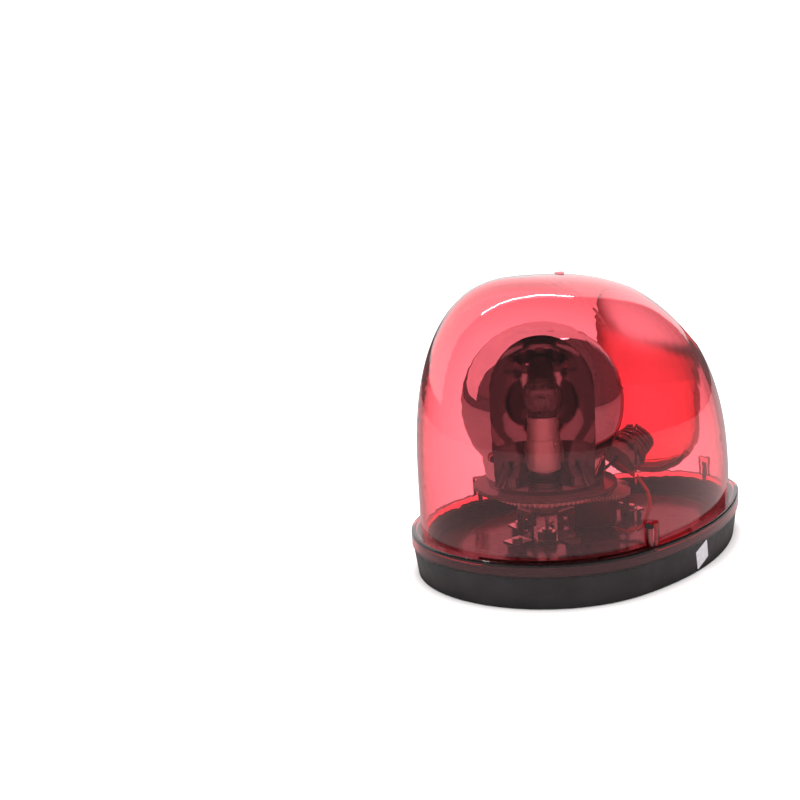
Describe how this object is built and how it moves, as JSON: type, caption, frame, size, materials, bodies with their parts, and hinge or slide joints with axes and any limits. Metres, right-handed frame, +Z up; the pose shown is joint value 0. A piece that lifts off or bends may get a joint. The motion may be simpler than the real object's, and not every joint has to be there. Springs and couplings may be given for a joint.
{
  "type": "rotating beacon",
  "caption": "Teardrop magnetic-mount warning lamp: red clear dome on a black base, revolving chromed reflector round a bayonet lamp, gear train, motor, cord well in the tail.",
  "frame": {"origin": "on the floor, under the middle of the plan outline", "axes": "+Z up, +Y towards the narrow tail with the cord well, X across; the lamp axis stands at y = -0.0275 m"},
  "size_m": [0.13, 0.185, 0.1396],
  "materials": {
    "dome_red": "clear tinted polycarbonate, polished",
    "housing_black": "fine satin moulding",
    "seal_rubber": "matt foam",
    "gland_rubber": "matt moulding",
    "pad_rubber": "matt moulding",
    "ferrite": "ground sintered ferrite",
    "cup_steel": "zinc plated",
    "screw_steel": "zinc plated",
    "bracket_steel": "bright zinc plated sheet",
    "post_steel": "turned",
    "fibre": "vulcanised fibre",
    "bearing_bronze": "sintered bronze",
    "clip_steel": "oiled spring steel",
    "gear_white": "natural acetal",
    "gear_grey": "grey acetal",
    "motor_steel": "zinc plated drawn can",
    "motor_plastic": "moulding",
    "armature_iron": "lacquered laminations",
    "contact_brass": "stamped",
    "turntable_metal": "bright",
    "reflector_chrome": "vacuum metallised",
    "holder_nickel": "nickel plated",
    "cap_nickel": "nickel plated",
    "insulator_black": "glassy",
    "solder": "domed solder",
    "lamp_glass": "clear",
    "stem_glass": "clear pinch",
    "tungsten": "drawn wire",
    "lead_red": "PVC sleeve",
    "lead_black": "PVC sleeve",
    "lead_white": "PVC sleeve"
  },
  "bodies": {
    "housing": {"base_housing": "housing_black", "base_seal": "seal_rubber", "dome": "dome_red", "dome_screws": "screw_steel", "cable_gland": "gland_rubber", "magnet_pad": "pad_rubber", "magnet_cup": "cup_steel", "magnet_ring": "ferrite", "magnet_bolt": "screw_steel", "magnet_spacer": "screw_steel", "magnet_washer": "screw_steel", "magnet_nut": "screw_steel", "mechanism_bracket": "bracket_steel", "bracket_screws": "screw_steel", "lamp_post": "post_steel", "post_nut": "screw_steel", "thrust_washer": "fibre", "retaining_clip": "clip_steel", "idler_stud": "post_steel", "idler_clip": "clip_steel", "motor_can": "motor_steel", "motor_cap": "motor_plastic", "motor_tags": "contact_brass", "motor_screws": "screw_steel", "lamp_holder": "holder_nickel", "holder_base": "insulator_black", "contact_plunger": "contact_brass", "contact_spring": "clip_steel", "lamp_cap": "cap_nickel", "bayonet_pins": "cap_nickel", "lamp_insulator": "insulator_black", "lamp_contact": "solder", "lamp_globe": "lamp_glass", "lamp_stem": "stem_glass", "lamp_filament": "tungsten", "supply_lead": "lead_red", "return_lead": "lead_black", "lamp_lead": "lead_white"},
    "rotor": {"bearing_bush": "bearing_bronze", "drive_gear": "gear_white", "turntable": "turntable_metal", "reflector": "reflector_chrome", "rotor_screws": "screw_steel"},
    "idler": {"idler_gear": "gear_grey"},
    "motor_spindle": {"motor_shaft": "post_steel", "motor_armature": "armature_iron", "motor_pinion": "contact_brass"}
  },
  "joints": [
    {"name": "rotor_spin", "type": "hinge", "parent": "housing", "child": "rotor", "pos_m": [0, -0.0275, 0.04], "axis": [0, 0, 1], "continuous": true},
    {"name": "idler_spin", "type": "hinge", "parent": "housing", "child": "idler", "pos_m": [0.01417, -0.00243, 0.035], "axis": [0, 0, 1], "continuous": true},
    {"name": "motor_spin", "type": "hinge", "parent": "housing", "child": "motor_spindle", "pos_m": [0, 0.0025, 0.03], "axis": [0, 0, 1], "continuous": true}
  ],
  "couplings": [
    {"joint": "idler_spin", "follows": "rotor_spin", "ratio": -5},
    {"joint": "motor_spin", "follows": "rotor_spin", "ratio": 20}
  ]
}
